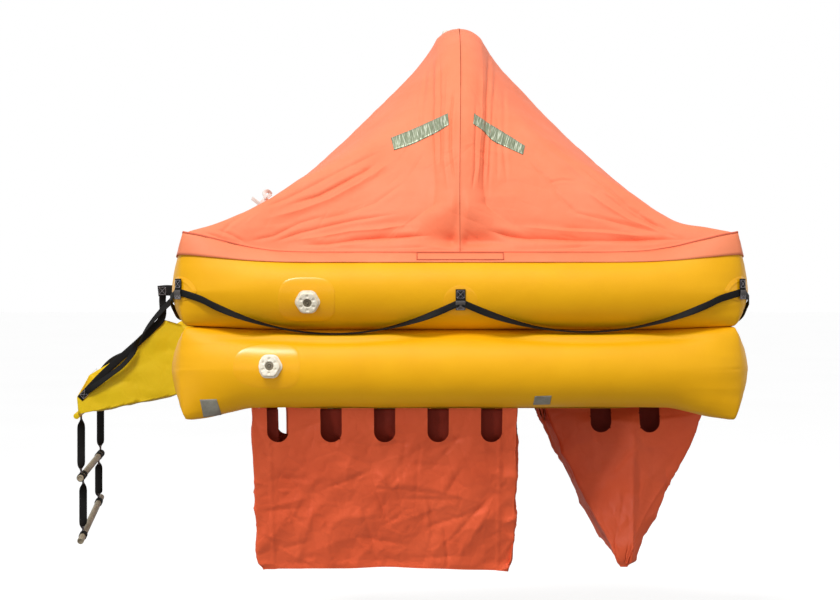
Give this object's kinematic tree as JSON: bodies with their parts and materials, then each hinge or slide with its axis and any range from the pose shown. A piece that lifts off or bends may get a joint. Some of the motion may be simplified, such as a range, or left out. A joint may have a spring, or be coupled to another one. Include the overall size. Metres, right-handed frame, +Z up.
{
  "type": "inflatable life raft",
  "caption": "Square inflatable life raft with stacked buoyancy tubes, arched canopy, water pockets, boarding ramp and webbing ladder.",
  "frame": {"origin": "the middle of the raft in plan, at the waterline of the empty raft", "axes": "+X away from the boarding ramp, +Y from the front face in the picture to the back, +Z up"},
  "size_m": [2.5313, 2.0704, 2.059],
  "materials": {
    "tube_fabric": "coated fabric, satin",
    "floor_fabric": "coated fabric, matt",
    "arch_fabric": "coated fabric, satin",
    "canopy_fabric": "thin coated fabric, satin",
    "hem_fabric": "coated fabric, satin",
    "clear_plastic": "gloss",
    "pocket_fabric": "thin coated fabric, matt",
    "ramp_fabric": "coated fabric, satin",
    "black_webbing": "woven webbing",
    "rung": "matt",
    "valve_plastic": "satin",
    "cylinder_paint": "satin"
  },
  "bodies": {
    "raft": {"lower_tube": "tube_fabric", "upper_tube": "tube_fabric", "floor": "floor_fabric", "arch_tube": "arch_fabric", "canopy_left": "canopy_fabric", "canopy_right": "canopy_fabric", "canopy_hem": "hem_fabric", "door_flap_roll": "canopy_fabric", "canopy_light": "clear_plastic", "ballast_pocket_front": "pocket_fabric", "ballast_pocket_back": "pocket_fabric", "ballast_pocket_right": "pocket_fabric", "boarding_ramp": "ramp_fabric", "ramp_edge_bead": "ramp_fabric", "ramp_strap_near": "black_webbing", "ramp_strap_far": "black_webbing", "ramp_anchor_near": "black_webbing", "ramp_anchor_far": "black_webbing", "lifeline_front": "black_webbing", "lifeline_right": "black_webbing", "lifeline_back": "black_webbing", "lifeline_left_near": "black_webbing", "lifeline_left_far": "black_webbing", "lifeline_tab_front": "black_webbing", "lifeline_tab_right": "black_webbing", "lifeline_tab_back": "black_webbing", "lifeline_tab_front_left": "black_webbing", "lifeline_tab_front_right": "black_webbing", "lifeline_tab_back_right": "black_webbing", "lifeline_tab_back_left": "black_webbing", "valve_upper": "valve_plastic", "valve_lower": "valve_plastic", "gas_cylinder": "cylinder_paint", "cylinder_strap_1": "black_webbing", "cylinder_strap_2": "black_webbing"},
    "ladder_upper": {"ladder_strap_upper_near": "black_webbing", "ladder_strap_upper_far": "black_webbing", "ladder_rung_upper": "rung"},
    "ladder_lower": {"ladder_strap_lower_near": "black_webbing", "ladder_strap_lower_far": "black_webbing", "ladder_rung_lower": "rung"}
  },
  "joints": [
    {"name": "ladder_swing", "type": "hinge", "parent": "raft", "child": "ladder_upper", "pos_m": [-1.44, 0, -0.069], "axis": [0, 0.9962, 0.0867], "range_deg": [-45, 110]},
    {"name": "ladder_fold", "type": "hinge", "parent": "ladder_upper", "child": "ladder_lower", "pos_m": [-1.44, 0, -0.312], "axis": [0, 0.9932, 0.1162], "range_deg": [-60, 120]}
  ]
}
